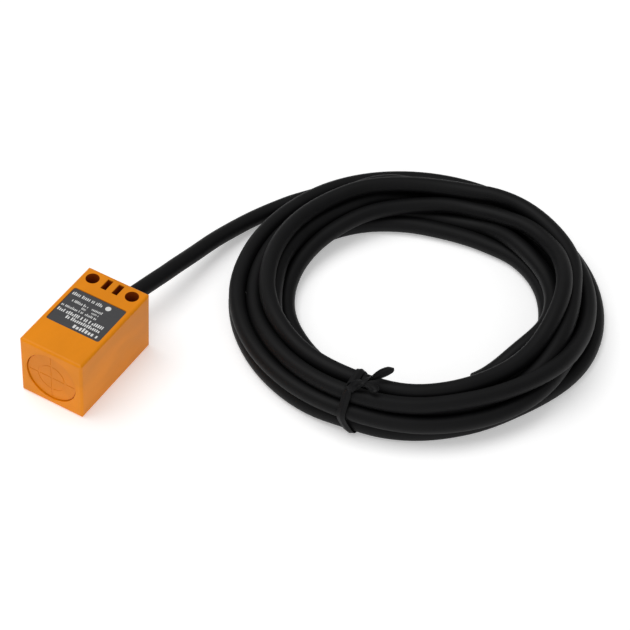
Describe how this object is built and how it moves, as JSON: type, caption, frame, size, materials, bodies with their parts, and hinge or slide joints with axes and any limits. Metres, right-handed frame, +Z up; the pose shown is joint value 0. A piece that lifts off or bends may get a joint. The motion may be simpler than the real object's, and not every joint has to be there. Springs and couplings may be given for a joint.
{
  "type": "inductive proximity sensor",
  "caption": "Small rectangular inductive proximity sensor with a flat sensing face, through holes for screws and a coiled, tied cable.",
  "frame": {"origin": "centre of the case's bottom face, on the surface it rests on", "axes": "+Z up through the nameplate, -Y out of the sensing face, +Y out of the cable face, X across the case"},
  "size_m": [0.1102, 0.12, 0.017],
  "materials": {
    "orange_abs": "satin moulded orange ABS",
    "cap_abs": "satin moulded orange ABS, sensing cap",
    "nameplate_foil": "dark grey printed foil",
    "ferrite": "sintered ferrite, matt dark grey",
    "bobbin_plastic": "natural moulded plastic",
    "enamelled_copper": "enamelled copper wire",
    "potting_resin": "black epoxy resin",
    "board_laminate": "green solder resist on glass-epoxy",
    "chip_black": "moulded epoxy package",
    "tinned_metal": "tin plate",
    "tantalum_yellow": "moulded yellow capacitor",
    "resistor_film": "thick film on ceramic",
    "capacitor_ceramic": "sintered ceramic",
    "diode_glass": "glass package",
    "led_red": "clear red epoxy",
    "window_red": "clear red acrylic light guide",
    "core_brown": "brown PVC insulation",
    "core_black": "black PVC insulation",
    "core_blue": "blue PVC insulation",
    "crimp_steel": "plated steel",
    "cable_pvc": "black satin PVC sheath",
    "seal_rubber": "black rubber",
    "tie_pvc": "black PVC over a wire"
  },
  "bodies": {
    "root": {"case_shell": "orange_abs", "sensing_cap": "cap_abs", "nameplate": "nameplate_foil", "ferrite_core": "ferrite", "coil_bobbin": "bobbin_plastic", "coil_winding": "enamelled_copper", "coil_leads": "enamelled_copper", "core_resin": "potting_resin", "circuit_board": "board_laminate", "oscillator_ic": "chip_black", "ic_pins": "tinned_metal", "output_transistor": "chip_black", "tantalum_capacitor": "tantalum_yellow", "chip_resistors": "resistor_film", "chip_capacitors": "capacitor_ceramic", "protection_diodes": "diode_glass", "indicator_led": "led_red", "led_legs": "tinned_metal", "indicator_window": "window_red", "board_wire_brown": "core_brown", "board_wire_black": "core_black", "board_wire_blue": "core_blue", "wire_tips": "tinned_metal", "solder_joints": "tinned_metal", "cable_entry": "cable_pvc", "crimp_ring": "crimp_steel", "rear_resin": "potting_resin", "cable_seal": "seal_rubber", "cable_lead": "cable_pvc", "cable_coil": "cable_pvc", "cable_end": "cable_pvc", "end_core_brown": "core_brown", "end_core_black": "core_black", "end_core_blue": "core_blue", "end_core_tips": "tinned_metal", "tie_loop": "tie_pvc", "tie_tail": "tie_pvc"}
  },
  "joints": []
}
